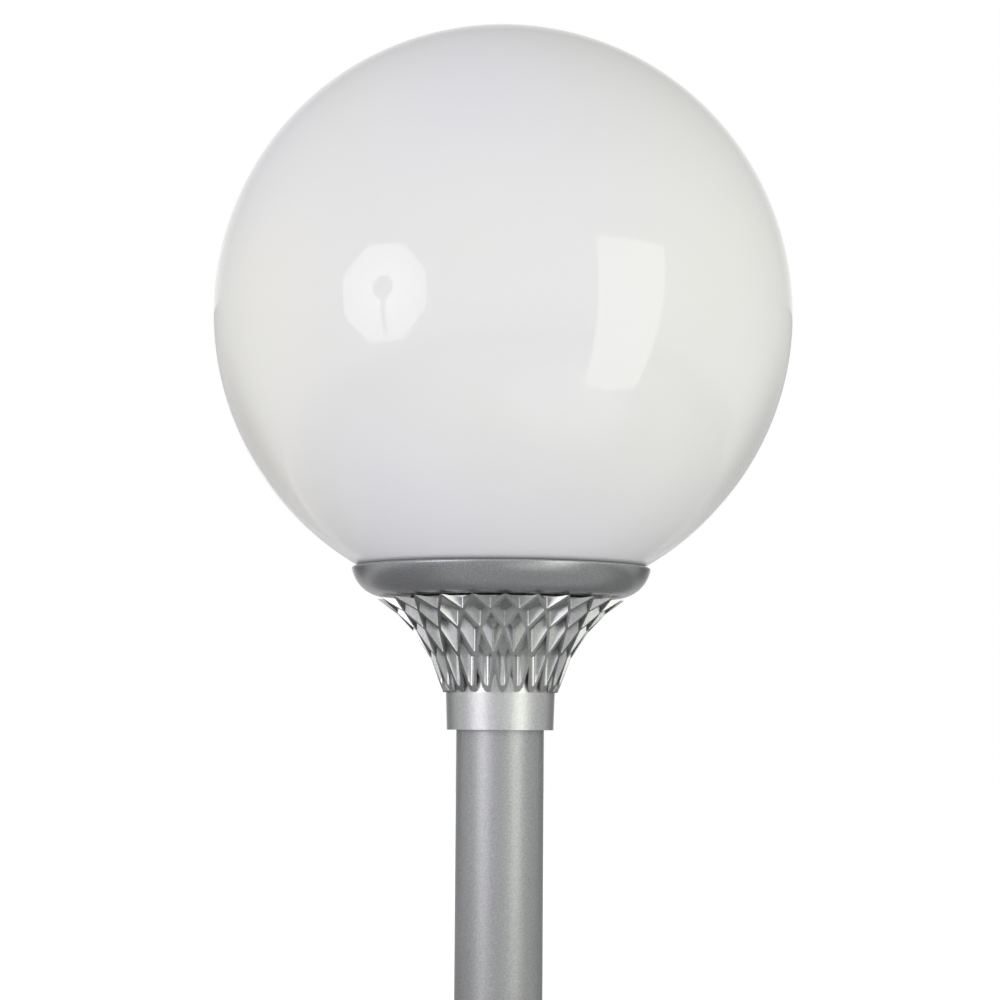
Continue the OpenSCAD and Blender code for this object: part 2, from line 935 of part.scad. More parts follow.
// Nut above and nut under the tray, both round the earth stud
module earth_nuts() {
    color("goldenrod")
        for (z = [tray_z - nut_h, tray_top])
            translate([earth_x, earth_y, z])
                difference() {
                    cylinder(d = nut_d / cos(30), h = nut_h, $fn = 6);
                    translate([0, 0, -SINK])
                        cylinder(d = earth_d + 2 * screw_gap, h = nut_h + 2 * SINK);
                }
}

// Inner leads, swept along their routes with eight sides

function unit(v) = v / norm(v);
function tangent(p, i) =
    let (n = len(p) - 1)
    i == 0 ? unit(p[1] - p[0])
    : i == n ? unit(p[n] - p[n - 1])
    : unit(unit(p[i + 1] - p[i]) + unit(p[i] - p[i - 1]));
function side_of(t) = abs(t[1]) < 0.9 ? unit(cross(t, [0, 1, 0])) : unit(cross(t, [1, 0, 0]));
function carried(s, t) = unit(s - t * (s * t));
function sides_along(p, i) = i == 0 ? [side_of(tangent(p, 0))]
    : let (before = sides_along(p, i - 1)) concat(before, [carried(before[i - 1], tangent(p, i))]);

LEAD_SIDES = 8;

module lead(p, d) {
    n = len(p);
    s = sides_along(p, n - 1);
    points = [
        for (i = [0:n - 1])
            let (t = tangent(p, i), u = s[i], v = cross(t, u))
            for (k = [0:LEAD_SIDES - 1])
                let (a = 360 * k / LEAD_SIDES)
                p[i] + d / 2 * (u * cos(a) + v * sin(a))
    ];
    walls = [
        for (i = [0:n - 2], k = [0:LEAD_SIDES - 1])
            let (m = (k + 1) % LEAD_SIDES)
            [i * LEAD_SIDES + k, (i + 1) * LEAD_SIDES + k, (i + 1) * LEAD_SIDES + m, i * LEAD_SIDES + m]
    ];
    low = [for (k = [0:LEAD_SIDES - 1]) k];
    high = [for (k = [LEAD_SIDES - 1:-1:0]) (n - 1) * LEAD_SIDES + k];
    polyhedron(points, concat(walls, [low, high]));
}

wire_z = tray_top + terminal_h / 3;
in_y = terminal_y + terminal_w / 2 - 2 * lead_d;
holder_in_z = holder_z + lead_in_z;
lead_rise = holder_in_z - wire_z;
lead_lap = 0.5;

// Route from an outer way of the block up beside the bracket: each row is how far the lead has gone
// outwards, how far backwards, and its share of the rise to the lampholder's side hole
RISE_ROUTE = [
    [0, 0, 0], [0, 12, 0], [6, 18, 0.06], [16, 19, 0.28],
    [22, 20, 0.6], [24, 24, 0.88], [23, 31, 0.95], [18, 35, 1]
];

function riser(side) = concat(
    [for (p = RISE_ROUTE) [side * (way_x(2) + p[0]), in_y + p[1], wire_z + p[2] * lead_rise]],
    [for (x = [lead_in_x + lead_d, lead_in_x + lead_lap]) [side * x, 0, holder_in_z]]
);

module live_lead() {
    color("saddlebrown")
        lead(riser(-1), lead_d);
}

module neutral_lead() {
    color("steelblue")
        lead(riser(1), lead_d);
}

// Route of the earth lead from the middle way to just over the nut of the stud
EARTH_ROUTE = [[0, 0, 0], [0, 8, 0], [4, 12, 3], [11, 12.5, 7], [18, 11, 6.5], [25, 8, 3]];
earth_side = 4;
earth_end = 1;

module earth_lead() {
    rest_z = tray_top + nut_h + lead_d / 2 + lead_lap;
    color("forestgreen")
        lead(concat(
            [for (p = EARTH_ROUTE) [way_x(1), in_y, wire_z] + p],
            [for (x = [earth_side + earth_end, earth_end]) [earth_x - x, earth_y + earth_side, rest_z]]
        ), lead_d);
}

pole();
leaf_casting();
grub_screws();
dish_gasket();
dish();
dish_bolts();
bolt_washers();
bayonet_ring();
ring_screws();
globe_seal();
globe();
tray_pillars();
gear_tray();
tray_screws();
holder_bracket();
bracket_screws();
holder_nipple();
nipple_nut();
holder_body();
holder_shell();
holder_contact();
bulb();
terminal_block();
terminal_screws();
cable_clamp();
clamp_screws();
earth_stud();
earth_nuts();
live_lead();
neutral_lead();
earth_lead();
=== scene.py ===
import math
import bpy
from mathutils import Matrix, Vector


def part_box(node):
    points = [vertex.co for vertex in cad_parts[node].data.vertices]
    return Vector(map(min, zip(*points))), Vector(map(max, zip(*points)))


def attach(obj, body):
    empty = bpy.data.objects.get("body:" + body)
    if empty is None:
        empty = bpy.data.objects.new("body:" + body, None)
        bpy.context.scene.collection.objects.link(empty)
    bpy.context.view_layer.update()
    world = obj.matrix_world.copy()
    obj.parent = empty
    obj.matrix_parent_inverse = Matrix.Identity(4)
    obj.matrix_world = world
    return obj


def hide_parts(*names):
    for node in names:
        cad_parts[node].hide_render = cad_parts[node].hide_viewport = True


bl_info = {
    "name": "Globe Street Lamp",
    "version": (1, 0, 0),
    "blender": (4, 5, 0),
    "location": "View3D > Sidebar > Lamp",
    "description": "Finishes and fine pieces for a post-top globe lamp, with a plain studio",
    "category": "Object",
}

import bmesh
import bpy
from bpy.props import FloatProperty, FloatVectorProperty, IntProperty, PointerProperty
from mathutils import Euler, Matrix, Vector

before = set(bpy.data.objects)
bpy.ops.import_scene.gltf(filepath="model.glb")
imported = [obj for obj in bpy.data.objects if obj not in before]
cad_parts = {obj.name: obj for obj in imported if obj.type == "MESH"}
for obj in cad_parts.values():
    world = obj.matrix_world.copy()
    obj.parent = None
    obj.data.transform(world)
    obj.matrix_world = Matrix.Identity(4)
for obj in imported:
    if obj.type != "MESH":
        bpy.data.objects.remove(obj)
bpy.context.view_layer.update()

MM = 0.001
MERGE_DISTANCE = 1e-7

# Camera as recovered from the photograph, in metres, degrees and pixels of its picture
PHOTO_WIDTH, FOCAL_PIXELS, SENSOR_WIDTH = 1000.0, 2765.0, 36.0
CAMERA_AWAY, CAMERA_HEIGHT = 1.9, 0.25
CAMERA_TURN, CAMERA_TILT, CAMERA_PAN, CAMERA_ROLL = -2.1, 4.755, 0.035, 0.4

# Studio lights in metres, placed by what the photograph's globe reflects of them
UMBRELLA_CENTRE, UMBRELLA_AIM = (-1.32, -1.27, 0.59), (0, 0, 0.5)
UMBRELLA_RADIUS, UMBRELLA_SIDES, UMBRELLA_EDGE_SHARE = 0.58, 8, 0.74
FLASH_RADIUS, FLASH_AHEAD, FLASH_GLOW = 0.13, 0.05, 1.1
STAND_LENGTH, STAND_HALF_WIDTH, STAND_GLOW = 0.5, 0.03, 1.3
SOFTBOX_CORNERS = [(0.499, -0.836, 0.883), (0.817, -0.524, 0.839), (0.704, -0.567, 0.05), (0.443, -0.772, 0.01)]

# Black flags on both sides, in metres, given for the right one, and the light that they fade to at their edge
FLAG_CORNERS = [(1.14, 0.51, 0.0), (0.45, 1.11, 0.0), (0.45, 1.11, 0.7), (1.14, 0.51, 0.7)]
FLAG_CENTRE, FLAG_REACH, FLAG_EDGE_GLOW = (0.8, 0.81, 0.25), 0.45, 0.46

# Tones of the room as the metals and the globe show it, from the front of the lamp, at 0, to its back, at 1
ROOM_TONES = [(0.0, 0.82), (0.5, 0.66), (0.78, 0.46), (0.91, 0.46), (0.985, 1.0)]

# The floor, its lift to white for the camera, and its tones in metal by the metres from a lit pool on it
FLOOR_RADIUS, FLOOR_SIDES, FLOOR_LIFT = 9.0, 96, 0.5
POOL, POOL_REACH = (0.35, -0.75, 0.0), 4.0
POOL_TONES = [(0.28, "#ffffff"), (0.45, "#a0a0a0"), (0.8, "#c2c2c2"), (0.97, "#7c7c7c"), (1.45, "#7c7c7c"),
              (1.9, "#e6e6e6")]

# Corners of the CAD nodes that the new pieces follow
GLOBE_LOW, GLOBE_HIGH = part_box("globe")
DISH_LOW, DISH_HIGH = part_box("dish")
POLE_LOW, POLE_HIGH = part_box("pole")
CAST_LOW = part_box("leaf_casting")[0]
SEAL_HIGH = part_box("globe_seal")[1]


# Colours and nodes


def linear(colour):
    """Turns an sRGB hex colour into linear red, green, blue and alpha."""
    values = [int(colour[i:i + 2], 16) / 255 for i in (1, 3, 5)]
    return [v / 12.92 if v <= 0.04045 else ((v + 0.055) / 1.055) ** 2.4 for v in values] + [1.0]


def add_node(tree, kind, inputs=None, **settings):
    """Adds a node, with its settings, and its inputs as values or as links from other sockets."""
    node = tree.nodes.new(kind)
    for name, value in settings.items():
        setattr(node, name, value)
    for key, value in (inputs or {}).items():
        if isinstance(value, bpy.types.NodeSocket):
            tree.links.new(value, node.inputs[key])
        else:
            node.inputs[key].default_value = value
    return node


def bare_material(name):
    """A new material with an empty node tree."""
    material = bpy.data.materials.new(name)
    material.use_nodes = True
    material.node_tree.nodes.clear()
    return material, material.node_tree


def start_material(name):
    """A new material with only the object's own coordinates in its node tree."""
    material, tree = bare_material(name)
    place = add_node(tree, "ShaderNodeTexCoord").outputs["Object"]
    return material, tree, place


def end_material(tree, shader):
    """Joins the finished shader to the material's output."""
    add_node(tree, "ShaderNodeOutputMaterial", {"Surface": shader})


def grain(tree, place, size, detail=2.0):
    """Noise whose lumps are about as wide as the given real size."""
    noise = add_node(tree, "ShaderNodeTexNoise", {"Vector": place, "Scale": 1 / size, "Detail": detail})
    return noise.outputs["Fac"]


def two_tone(tree, factor, low, high, start=0.35, end=0.65):
    """A colour that goes from one tone to the other as the factor rises."""
    return tone_steps(tree, factor, [(start, linear(low)), (end, linear(high))])


def tone_steps(tree, factor, steps):
    """A colour that passes through the given steps of factor and linear colour."""
    ramp = add_node(tree, "ShaderNodeValToRGB", {"Fac": factor})
    marks = ramp.color_ramp.elements
    while len(marks) < len(steps):
        marks.new(1.0)
    for mark, (place, colour) in zip(marks, steps):
        mark.position = place
        mark.color = colour
    return ramp.outputs["Color"]


def span(tree, factor, low, high):
    """A factor stretched from 0..1 to a range."""
    stretch = add_node(tree, "ShaderNodeMapRange", {"Value": factor, "To Min": low, "To Max": high})
    return stretch.outputs["Result"]


# Materials


def opal_acrylic(tint_low, tint_high):
    # Opal acrylic, blown hot: milky white, lit through from all sides, under a hard gloss with a faint wave
    material, tree, place = start_material("opal_acrylic_blown")
    cloud = grain(tree, place, 260 * MM, 1.0)
    colour = tone_steps(tree, cloud, [(0.35, (*tint_low, 1.0)), (0.65, (*tint_high, 1.0))])
    wave = grain(tree, place, 55 * MM, 0.0)
    bump = add_node(tree, "ShaderNodeBump", {"Height": wave, "Strength": 0.25, "Distance": 0.6 * MM})
    shader = add_node(tree, "ShaderNodeBsdfPrincipled", {
        "Base Color": colour, "Roughness": 0.045, "IOR": 1.49, "Normal": bump.outputs["Normal"],
    })
    end_material(tree, shader.outputs["BSDF"])
    return material


def dish_paint(colour_low, colour_high):
    # Metallic paint, sprayed: mid grey with a fine aluminium flake, under a thin clear coat
    material, tree, place = start_material("metallic_paint_sprayed_grey")
    # The real flake is near 0.1 mm: it is drawn at 0.8 mm so that it shows
    flake = grain(tree, place, 0.8 * MM, 3.0)
    colour = two_tone(tree, flake, colour_low, colour_high, 0.3, 0.7)
    bump = add_node(tree, "ShaderNodeBump", {"Height": flake, "Strength": 0.12, "Distance": 0.05 * MM})
    shader = add_node(tree, "ShaderNodeBsdfPrincipled", {
        "Base Color": colour, "Metallic": 0.8, "Roughness": span(tree, flake, 0.3, 0.4),
        "Normal": bump.outputs["Normal"], "Coat Weight": 0.6, "Coat Roughness": 0.12, "Coat IOR": 1.5,
    })
    end_material(tree, shader.outputs["BSDF"])
    return material


def cast_aluminium(colour_low, colour_high, collar_top):
    # Aluminium, sand cast and blasted on the leaves, turned on the collar: bright satin with fine lathe lines
    material, tree, place = start_material("aluminium_cast_and_turned")
    skin = grain(tree, place, 1.6 * MM, 3.0)
    colour = two_tone(tree, skin, colour_low, colour_high, 0.3, 0.7)
    height = add_node(tree, "ShaderNodeSeparateXYZ", {"Vector": place}).outputs["Z"]
    below = add_node(tree, "ShaderNodeMath", {0: height, 1: collar_top}, operation="LESS_THAN")
    on_collar = below.outputs["Value"]
    # Painted shade: the leaves are drawn a little darker than the turned collar, for the dim relief among the
    # leaves
    leaf_shade_tone = add_node(tree, "ShaderNodeHueSaturation", {
        "Color": colour, "Value": span(tree, on_collar, 0.84, 1.0)})
    rough = add_node(tree, "ShaderNodeMix", {
        "Factor": on_collar, "A": span(tree, skin, 0.26, 0.36), "B": span(tree, skin, 0.38, 0.48)})
    # Lathe feed is near 0.2 mm: it is drawn at 0.7 mm, and long round the collar, so that it shows
    stretched = add_node(tree, "ShaderNodeMapping", {"Vector": place, "Scale": (4.0, 4.0, 1 / (0.7 * MM))})
    lines = add_node(tree, "ShaderNodeTexNoise", {
        "Vector": stretched.outputs["Vector"], "Scale": 1.0, "Detail": 2.0})
    relief = add_node(tree, "ShaderNodeMix", {"Factor": on_collar, "A": skin, "B": lines.outputs["Fac"]})
    bump = add_node(tree, "ShaderNodeBump", {
        "Height": relief.outputs["Result"], "Strength": 0.3, "Distance": 0.1 * MM,
    })
    shader = add_node(tree, "ShaderNodeBsdfPrincipled", {
        "Base Color": leaf_shade_tone.outputs["Color"], "Metallic": 1.0, "Roughness": rough.outputs["Result"],
        "Normal": bump.outputs["Normal"],
    })
    end_material(tree, shader.outputs["BSDF"])
    return material


def pole_paint(colour_low, colour_high):
    # Silver paint on steel tube, sprayed: satin, with a faint dry grain
    material, tree, place = start_material("silver_paint_sprayed_on_steel")
    dust = grain(tree, place, 1.2 * MM, 3.0)
    colour = two_tone(tree, dust, colour_low, colour_high, 0.3, 0.7)
    bump = add_node(tree, "ShaderNodeBump", {"Height": dust, "Strength": 0.2, "Distance": 0.06 * MM})
    shader = add_node(tree, "ShaderNodeBsdfPrincipled", {
        "Base Color": colour, "Metallic": 0.75, "Roughness": span(tree, dust, 0.36, 0.48),
        "Normal": bump.outputs["Normal"],
    })
    end_material(tree, shader.outputs["BSDF"])
    return material


def plated_steel(name, low, high, rough):
    # Zinc-plated steel: bluish bright metal with a faint cloud from the bath
    material, tree, place = start_material(name)
    cloud = grain(tree, place, 3 * MM, 3.0)
    spread = 0.06
    shader = add_node(tree, "ShaderNodeBsdfPrincipled", {
        "Base Color": two_tone(tree, cloud, low, high), "Metallic": 1.0,
        "Roughness": span(tree, cloud, rough - spread, rough + spread),
    })
    end_material(tree, shader.outputs["BSDF"])
    return material


def dull_skin(name, low, high, rough, size, ior=1.5, coat=0.0):
    # Moulded rubber, plastic or porcelain: an even colour with a slight mottle and a skin of its own gloss
    material, tree, place = start_material(name)
    mottle = grain(tree, place, size, 2.0)
    spread = 0.04
    bump = add_node(tree, "ShaderNodeBump", {"Height": mottle, "Strength": 0.1, "Distance": 0.05 * MM})
    shader = add_node(tree, "ShaderNodeBsdfPrincipled", {
        "Base Color": two_tone(tree, mottle, low, high),
        "Roughness": span(tree, mottle, rough - spread, rough + spread),
        "IOR": ior, "Coat Weight": coat, "Coat Roughness": 0.05, "Normal": bump.outputs["Normal"],
    })
    end_material(tree, shader.outputs["BSDF"])
    return material


def striped_sheath():
    # Green and yellow PVC sheath, extruded: even bands of about 5 mm
    material, tree, place = start_material("pvc_sheath_green_and_yellow")
    stripes = add_node(tree, "ShaderNodeTexWave", {"Vector": place, "Scale": 60.0, "Distortion": 0.0},
                       wave_type="BANDS", bands_direction="Z")
    shader = add_node(tree, "ShaderNodeBsdfPrincipled", {
        "Base Color": two_tone(tree, stripes.outputs["Fac"], "#2c8a3a", "#d8c92e", 0.48, 0.52),
        "Roughness": 0.35, "IOR": 1.52,
    })
    end_material(tree, shader.outputs["BSDF"])
    return material


# Meshes


def ring_of(bm, profile, segments):
    """Spins a closed profile of radius and height pairs a full turn about the upright axis."""
    vertices = [bm.verts.new((r, 0.0, z)) for r, z in profile]
    edges = [bm.edges.new((a, b)) for a, b in zip(vertices, vertices[1:] + vertices[:1])]
    bmesh.ops.spin(bm, geom=vertices + edges, cent=(0, 0, 0), axis=(0, 0, 1), dvec=(0, 0, 0),
                   angle=2 * math.pi, steps=segments, use_merge=True, use_duplicate=False)
    bmesh.ops.remove_doubles(bm, verts=bm.verts, dist=MERGE_DISTANCE)
    bmesh.ops.recalc_face_normals(bm, faces=bm.faces)


def arc(centre, radius, start, end, steps):
    """Points of an arc, in degrees from the outward direction."""
    return [
        (centre[0] + radius * math.cos(math.radians(start + (end - start) * i / steps)),
         centre[1] + radius * math.sin(math.radians(start + (end - start) * i / steps)))
        for i in range(steps + 1)
    ]


def make_piece(name, bm, material, replaced, sharp=35.0):
    """Puts a finished mesh in the scene, smooth but for its sharp edges, in place of its solid."""
    mesh = bpy.data.meshes.new(name)
    bm.to_mesh(mesh)
    bm.free()
    mesh.materials.append(material)
    mesh.shade_smooth()
    mesh.set_sharp_from_angle(angle=math.radians(sharp))
    piece = bpy.data.objects.new(name, mesh)
    bpy.context.scene.collection.objects.link(piece)
    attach(piece, "root")
    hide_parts(*replaced)
    return piece


def dress(names, material):
    """Gives CAD nodes a material."""
    for name in names:
        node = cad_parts[name]
        node.data.materials.clear()
        node.data.materials.append(material)


# Settings


class GlobeSettings(bpy.types.PropertyGroup):
    wall: FloatProperty(name="Wall", description="Wall of the globe", default=3 * MM, unit="LENGTH")
    neck_radius: FloatProperty(name="Neck radius", description="Outer radius of the neck", unit="LENGTH",
                               default=SEAL_HIGH.x - 0.5 * MM)
    segments: IntProperty(name="Segments", description="Flats round the globe", default=160, min=24)
    tint_low: FloatVectorProperty(name="Cool tone", description="Cooler tone of the opal", subtype="COLOR",
                                  default=linear("#e9e8ec")[:3])
    tint_high: FloatVectorProperty(name="Warm tone", description="Warmer tone of the opal", subtype="COLOR",
                                   default=linear("#ebebe6")[:3])


class StageSettings(bpy.types.PropertyGroup):
    ambient_low: FloatProperty(name="Ambient low", default=0.95,
                               description="Light from the horizon and below on dull surfaces")
    ambient_high: FloatProperty(name="Ambient high", default=0.68,
                                description="Light from above on dull surfaces")
    backdrop: FloatProperty(name="Backdrop", default=0.2,
                            description="Share by which the backdrop's side is lighter")
    umbrella: FloatProperty(name="Umbrella", default=4.0, description="Strength of the umbrella on the left")
    softbox: FloatProperty(name="Softbox", default=2.35, description="Strength of the softbox on the right")


# Camera and stage


class LAMP_OT_camera(bpy.types.Operator):
    """Sets the camera at the photograph's viewing angle"""

    bl_idname = "lamp.camera"
    bl_label = "Camera"

    def execute(self, context):
        data = bpy.data.cameras.new("camera")
        data.sensor_width = SENSOR_WIDTH
        data.lens = FOCAL_PIXELS / PHOTO_WIDTH * SENSOR_WIDTH
        camera = bpy.data.objects.new("camera", data)
        context.scene.collection.objects.link(camera)
        turn = math.radians(CAMERA_TURN)
        camera.location = (CAMERA_AWAY * math.sin(turn), -CAMERA_AWAY * math.cos(turn), CAMERA_HEIGHT)
        camera.rotation_mode = "QUATERNION"
        # A turn of 90 degrees about X stands the camera upright, to look along the floor
        aim = Euler((math.radians(90 + CAMERA_TILT), 0, turn + math.radians(CAMERA_PAN)), "XYZ").to_matrix()
        roll = Matrix.Rotation(math.radians(CAMERA_ROLL), 3, "Z")
        camera.rotation_quaternion = (aim @ roll).to_quaternion()
        context.scene.camera = camera
        context.scene.view_settings.view_transform = "Standard"
        return {"FINISHED"}


class LAMP_OT_stage(bpy.types.Operator):
    """Makes the pale floor, the world and the studio lights"""

    bl_idname = "lamp.stage"
    bl_label = "Stage"

    def panel(self, name, corners, colour, strength, context, fade=None):
        """A glowing panel through the given corners, unseen by the camera.

        With fade, its strength goes from the given one at a centre to another one at a radius.
        """
        bm = bmesh.new()
        bm.faces.new([bm.verts.new(c) for c in corners])
        mesh = bpy.data.meshes.new(name)
        bm.to_mesh(mesh)
        bm.free()
        material, tree = bare_material(name)
        glow = add_node(tree, "ShaderNodeEmission", {"Color": linear(colour), "Strength": strength})
        if fade:
            centre, radius, edge = fade
            place = add_node(tree, "ShaderNodeTexCoord").outputs["Object"]
            away = add_node(tree, "ShaderNodeVectorMath", {0: place, 1: centre}, operation="DISTANCE")
            share = add_node(tree, "ShaderNodeMapRange", {
                "Value": away.outputs["Value"], "From Max": radius, "To Min": strength, "To Max": edge},
                interpolation_type="SMOOTHSTEP")
            tree.links.new(share.outputs["Result"], glow.inputs["Strength"])
        end_material(tree, glow.outputs["Emission"])
        mesh.materials.append(material)
        piece = bpy.data.objects.new(name, mesh)
        context.scene.collection.objects.link(piece)
        piece.visible_camera = False
        return piece

    def lights(self, context, settings):
        """The umbrella with its flash, the softbox and the two black flags."""
        # Umbrella on the left, an octagon that faces the globe
        centre = Vector(UMBRELLA_CENTRE)
        facing = (Vector(UMBRELLA_AIM) - centre).normalized()
        across = facing.cross(Vector((0, 0, 1))).normalized()
        upward = across.cross(facing)
        angles = [math.radians(360 * (i + 0.5) / UMBRELLA_SIDES) for i in range(UMBRELLA_SIDES)]
        rim = [across * math.cos(a) + upward * math.sin(a) for a in angles]
        self.panel("umbrella", [centre + UMBRELLA_RADIUS * d for d in rim], "#faf8ff", settings.umbrella,
                   context, fade=(centre, UMBRELLA_RADIUS, UMBRELLA_EDGE_SHARE * settings.umbrella))
        # The flash in front of the umbrella, with its stand
        flash = centre + FLASH_AHEAD * facing + FLASH_AHEAD * upward
        self.panel("flash", [flash + FLASH_RADIUS * d for d in rim], "#ffffff", FLASH_GLOW, context)
        foot = flash - STAND_LENGTH * upward
        half = STAND_HALF_WIDTH * across
        self.panel("flash_stand", [flash - half, flash + half, foot + half, foot - half],
                   "#ffffff", STAND_GLOW, context)
        self.panel("softbox", SOFTBOX_CORNERS, "#fdfff5", settings.softbox, context)
        # The flags darken the edges of the metals, and fade so softly that the globe hides them
        for name, side in (("flag_left", -1), ("flag_right", 1)):
            corners = [(side * x, y, z) for x, y, z in FLAG_CORNERS]
            centre = (side * FLAG_CENTRE[0], FLAG_CENTRE[1], FLAG_CENTRE[2])
            flag = self.panel(name, corners, "#ffffff", 0.0, context,
                              fade=(centre, FLAG_REACH, FLAG_EDGE_GLOW))
            flag.visible_diffuse = False
            flag.visible_shadow = False

    def floor(self, context):
        """The pale floor, which has its own tones where a metal shows it."""
        bm = bmesh.new()
        bmesh.ops.create_circle(bm, cap_ends=True, segments=FLOOR_SIDES, radius=FLOOR_RADIUS)
        mesh = bpy.data.meshes.new("floor")
        bm.to_mesh(mesh)
        bm.free()
        material, tree = bare_material("pale_floor")
        path = add_node(tree, "ShaderNodeLightPath")
        pale = add_node(tree, "ShaderNodeBsdfDiffuse", {"Color": linear("#e6e6e6")})
        # In the metals the floor shows a lit pool in front, a darker ring round it and a pale distance
        place = add_node(tree, "ShaderNodeTexCoord").outputs["Object"]
        away = add_node(tree, "ShaderNodeVectorMath", {0: place, 1: POOL}, operation="DISTANCE")
        share = add_node(tree, "ShaderNodeMapRange", {
            "Value": away.outputs["Value"], "From Max": POOL_REACH})
        pool = tone_steps(tree, share.outputs["Result"], [
            (metres / POOL_REACH, linear(tone)) for metres, tone in POOL_TONES])
        dim = add_node(tree, "ShaderNodeBsdfDiffuse", {"Color": pool})
        seen = add_node(tree, "ShaderNodeMixShader", {
            "Fac": path.outputs["Is Glossy Ray"], 1: pale.outputs["BSDF"], 2: dim.outputs["BSDF"]})
        glow = add_node(tree, "ShaderNodeEmission", {"Color": (1, 1, 1, 1)})
        lift = add_node(tree, "ShaderNodeMath", {
            0: path.outputs["Is Camera Ray"], 1: FLOOR_LIFT}, operation="MULTIPLY")
        tree.links.new(lift.outputs["Value"], glow.inputs["Strength"])
        both = add_node(tree, "ShaderNodeAddShader", {0: seen.outputs["Shader"], 1: glow.outputs["Emission"]})
        end_material(tree, both.outputs["Shader"])
        mesh.materials.append(material)
        floor = bpy.data.objects.new("floor", mesh)
        context.scene.collection.objects.link(floor)

    def world(self, context, settings):
        """A world that is white to the camera, and has its own tones for metals and for dull surfaces."""
        world = bpy.data.worlds.new("studio")
        context.scene.world = world
        world.use_nodes = True
        tree = world.node_tree
        tree.nodes.clear()
        path = add_node(tree, "ShaderNodeLightPath")
        aim = add_node(tree, "ShaderNodeSeparateXYZ", {
            "Vector": add_node(tree, "ShaderNodeTexCoord").outputs["Generated"]})
        # What metal and the globe show: a grey room, lighter in front, and the white backdrop behind the lamp
        turn = add_node(tree, "ShaderNodeMapRange", {
            "Value": aim.outputs["Y"], "From Min": -1.0, "From Max": 1.0})
        room = tone_steps(tree, turn.outputs["Result"], [
            (at, (tone, tone, tone, 1.0)) for at, tone in ROOM_TONES])
        soft = add_node(tree, "ShaderNodeMapRange", {
            "Value": aim.outputs["Z"], "To Min": settings.ambient_low, "To Max": settings.ambient_high})
        # The white backdrop lights the lamp's sides more than the room lights its front
        from_back = span(tree, turn.outputs["Result"], 1 - settings.backdrop, 1 + settings.backdrop)
        ambient = add_node(tree, "ShaderNodeMath", {
            0: soft.outputs["Result"], 1: from_back}, operation="MULTIPLY")
        for_gloss = add_node(tree, "ShaderNodeMix", {
            "Factor": path.outputs["Is Glossy Ray"], "A": ambient.outputs["Value"], "B": room})
        white = add_node(tree, "ShaderNodeMath", {
            0: path.outputs["Is Camera Ray"], 1: path.outputs["Is Transmission Ray"]}, operation="MAXIMUM")
        strength = add_node(tree, "ShaderNodeMix", {
            "Factor": white.outputs["Value"], "A": for_gloss.outputs["Result"], "B": 1.0})
        sky = add_node(tree, "ShaderNodeBackground", {
            "Color": (1, 1, 1, 1), "Strength": strength.outputs["Result"]})
        add_node(tree, "ShaderNodeOutputWorld", {"Surface": sky.outputs["Background"]})

    def execute(self, context):
        settings = context.scene.lamp_stage
        self.lights(context, settings)
        self.floor(context)
        self.world(context, settings)
        return {"FINISHED"}


# The lamp


class LAMP_OT_globe(bpy.types.Operator):
    """Makes the opal globe with its neck, as one blown shell"""

    bl_idname = "lamp.globe"
    bl_label = "Globe"

    def execute(self, context):
        settings = context.scene.lamp_globe
        radius = (GLOBE_HIGH.x - GLOBE_LOW.x) / 2
        centre = (0.0, GLOBE_HIGH.z - radius)
        wall = settings.wall
        neck = settings.neck_radius
        low = GLOBE_LOW.z
        outer_start = -math.degrees(math.acos(neck / radius))
        inner_start = -math.degrees(math.acos((neck - wall) / (radius - wall)))
        bm = bmesh.new()
        ring_of(bm, [(neck - wall, low), (neck, low)]
                + arc(centre, radius, outer_start, 90.0, steps=110)
                + arc(centre, radius - wall, 90.0, inner_start, steps=90), settings.segments)
        make_piece("opal_globe", bm, opal_acrylic(settings.tint_low, settings.tint_high), ["globe"])
        return {"FINISHED"}


class LAMP_OT_dish(bpy.types.Operator):
    """Makes the pressed dish with its rounded rim"""

    bl_idname = "lamp.dish"
    bl_label = "Dish"

    def execute(self, context):
        outer = DISH_HIGH.x
        low, high = DISH_LOW.z, DISH_HIGH.z
        wall, way, rim, inset = 2.5 * MM, 22 * MM, 1.3 * MM, 0.3 * MM
        # The outside goes from its lower round, through a second curve, to the round of the rim
        bend, lean_low, lean_high = 24 * MM, 26.0, 11.0
        sin_low, cos_low = math.sin(math.radians(lean_low)), math.cos(math.radians(lean_low))
        sin_high, cos_high = math.sin(math.radians(lean_high)), math.cos(math.radians(lean_high))
        rise = high - low - bend - rim * (1 + sin_high) + bend * sin_low
        curve = rise / (sin_low - sin_high)
        edge = (outer - rim - inset, high - rim)
        middle = (edge[0] - (curve - rim) * cos_high, edge[1] + (curve - rim) * sin_high)
        # The inside leans evenly above its own round, and its edge is half as round as the rim
        lean_in, bend_in, lip = 24.0, 18 * MM, 0.5 * rim
        slope_in = math.tan(math.radians(lean_in))
        flat_in = outer - (high - low) * slope_in - bend_in * math.tan(math.radians((90 - lean_in) / 2))
        inner = outer - wall / math.cos(math.radians(lean_in))
        bm = bmesh.new()
        ring_of(bm, [(way, low)]
                + arc((middle[0] + (curve - bend) * cos_low, low + bend), bend, -90.0, -lean_low, steps=24)
                + arc(middle, curve, -lean_low, -lean_high, steps=10)[1:]
                + arc(edge, rim, -lean_high, 90.0, steps=8)[1:]
                + arc((inner + lip, high - lip), lip, 90.0, 180.0 - lean_in, steps=4)
                + arc((flat_in, low + bend_in), bend_in - wall, -lean_in, -90.0, steps=20)
                + [(way, low + wall)], segments=160)
        make_piece("painted_dish", bm, dish_paint("#96979a", "#bcbdbf"), ["dish"])
        return {"FINISHED"}


